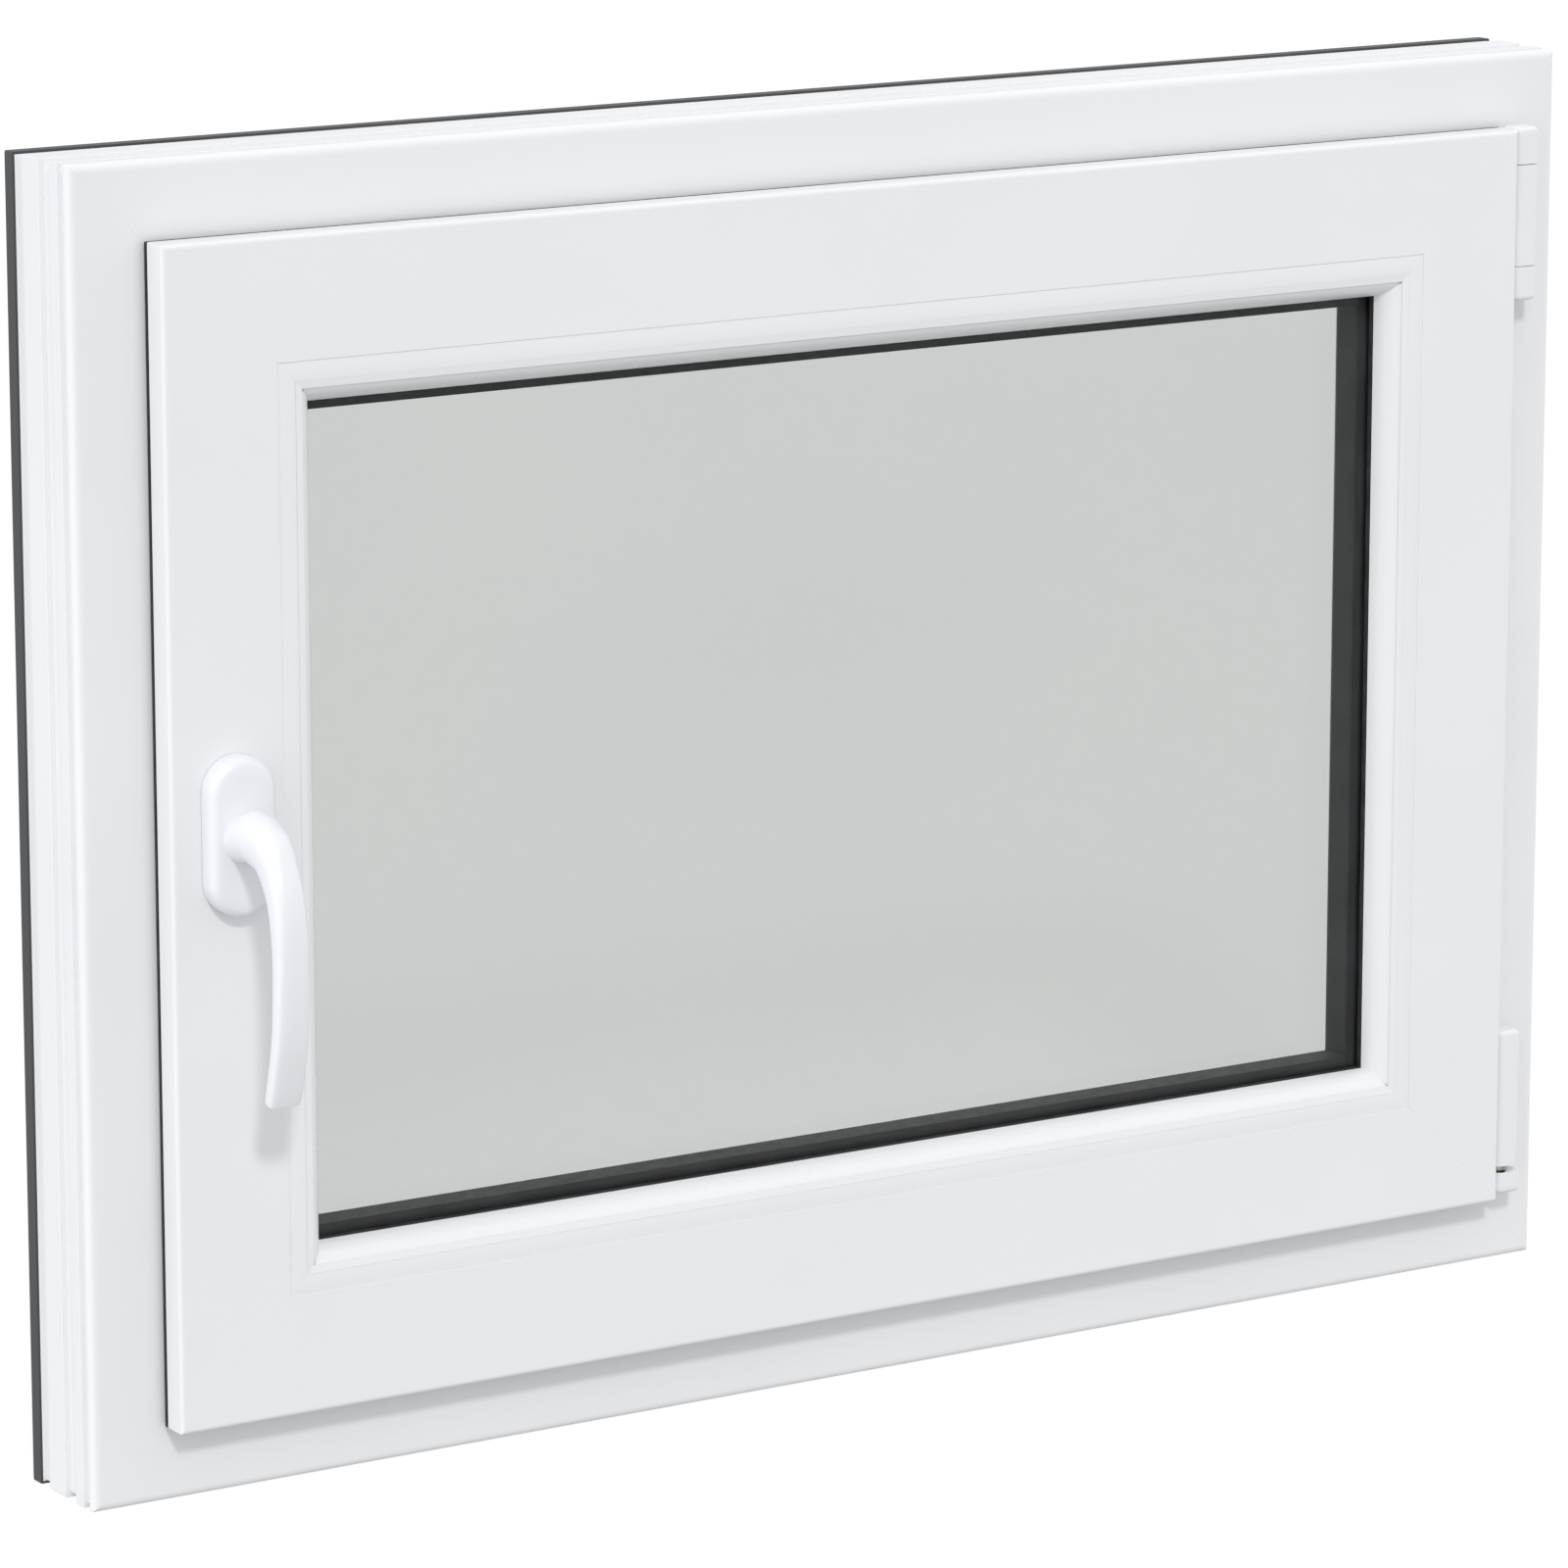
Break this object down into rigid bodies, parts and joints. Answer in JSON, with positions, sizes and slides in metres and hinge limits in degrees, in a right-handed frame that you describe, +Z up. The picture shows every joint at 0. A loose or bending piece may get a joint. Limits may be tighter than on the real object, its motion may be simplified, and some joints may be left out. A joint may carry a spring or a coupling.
{
  "type": "tilt-and-turn casement window",
  "caption": "Single-sash tilt-and-turn casement window with a white hollow-profile frame, double glazing, lever handle and corner hinges.",
  "frame": {"origin": "centre of the frame's underside: middle of the width, middle of the 60 mm depth, on the sill face", "axes": "+Z up, +X along the sill towards the hinge side, +Y from the room to the weather side"},
  "size_m": [0.8, 0.1368, 0.6],
  "materials": {
    "white_pvc": "smooth satin white PVC-U",
    "white_lacquer": "white powder coat on die-cast metal",
    "anthracite": "anthracite grained plastic",
    "black_rubber": "matt black EPDM seal",
    "zinc_steel": "zinc-plated steel",
    "hard_steel": "bright machined steel",
    "nylon": "dark moulded nylon",
    "float_glass": "clear float glass"
  },
  "bodies": {
    "frame": {"frame_handle_jamb": "white_pvc", "frame_head": "white_pvc", "frame_hinge_jamb": "white_pvc", "frame_sill": "white_pvc", "frame_steel_handle_jamb": "zinc_steel", "frame_steel_head": "zinc_steel", "frame_steel_hinge_jamb": "zinc_steel", "frame_steel_sill": "zinc_steel", "frame_rebate_gasket": "black_rubber", "drain_cap_left": "anthracite", "drain_cap_right": "anthracite", "striker_lower": "zinc_steel", "striker_upper": "zinc_steel", "striker_head": "zinc_steel", "stay_bearing": "white_lacquer", "stay_hinge_pin": "hard_steel", "stay_pin_cap": "white_lacquer", "lower_bearing": "white_lacquer"},
    "hinge_bush": {"lower_bearing_bush": "nylon"},
    "sash": {"sash_profile_handle_side": "white_pvc", "sash_profile_top": "white_pvc", "sash_profile_hinge_side": "white_pvc", "sash_profile_bottom": "white_pvc", "sash_steel_handle_side": "zinc_steel", "sash_steel_top": "zinc_steel", "sash_steel_hinge_side": "zinc_steel", "sash_steel_bottom": "zinc_steel", "glazing_bead_handle_side": "white_pvc", "glazing_bead_top": "white_pvc", "glazing_bead_hinge_side": "white_pvc", "glazing_bead_bottom": "white_pvc", "inner_pane": "float_glass", "outer_pane": "float_glass", "spacer_bar": "anthracite", "edge_seal": "black_rubber", "inner_glazing_gasket": "black_rubber", "outer_glazing_gasket": "black_rubber", "setting_block_left": "nylon", "setting_block_right": "nylon", "lap_gasket": "black_rubber", "lap_gasket_hinge_side": "black_rubber", "gearbox_case": "zinc_steel", "faceplate_handle_side": "zinc_steel", "faceplate_top": "zinc_steel", "rosette_base": "nylon", "rosette_cover": "white_lacquer", "handle_screw_lower": "zinc_steel", "handle_screw_upper": "zinc_steel", "corner_hinge_band": "zinc_steel", "corner_band_cover": "white_lacquer", "hinge_ball_pin": "hard_steel"},
    "handle": {"handle_lever": "white_lacquer", "handle_spindle": "hard_steel", "drive_pinion": "hard_steel"},
    "side_rod": {"drive_rod": "zinc_steel", "locking_cam_lower": "hard_steel", "locking_cam_upper": "hard_steel"},
    "top_rod": {"top_drive_rod": "zinc_steel"},
    "stay": {"stay_arm": "zinc_steel", "stay_eye_cover": "white_lacquer"}
  },
  "joints": [
    {"name": "sash_turn", "type": "hinge", "parent": "frame", "child": "hinge_bush", "pos_m": [0.37, -0.042, 0.043], "axis": [0, 0, 1], "range_deg": [0, 90]},
    {"name": "sash_tilt", "type": "hinge", "parent": "hinge_bush", "child": "sash", "pos_m": [0.37, -0.042, 0.043], "axis": [1, 0, 0], "range_deg": [0, 10]},
    {"name": "stay_swing", "type": "hinge", "parent": "hinge_bush", "child": "stay", "pos_m": [0.37, -0.042, 0.55], "axis": [0, 0, 1], "range_deg": [0, 20.5]},
    {"name": "handle_turn", "type": "hinge", "parent": "sash", "child": "handle", "pos_m": [-0.334, -0.058, 0.304], "axis": [0, -1, 0], "range_deg": [0, 180]},
    {"name": "side_rod_slide", "type": "slide", "parent": "sash", "child": "side_rod", "axis": [0, 0, -1], "range_m": [0, 0.0221]},
    {"name": "top_rod_slide", "type": "slide", "parent": "sash", "child": "top_rod", "axis": [-1, 0, 0], "range_m": [0, 0.0221]}
  ],
  "couplings": [
    {"joint": "stay_swing", "follows": "sash_tilt", "ratio": 2.014},
    {"joint": "side_rod_slide", "follows": "handle_turn", "m_per_rad": 0.007},
    {"joint": "top_rod_slide", "follows": "handle_turn", "m_per_rad": 0.007}
  ]
}
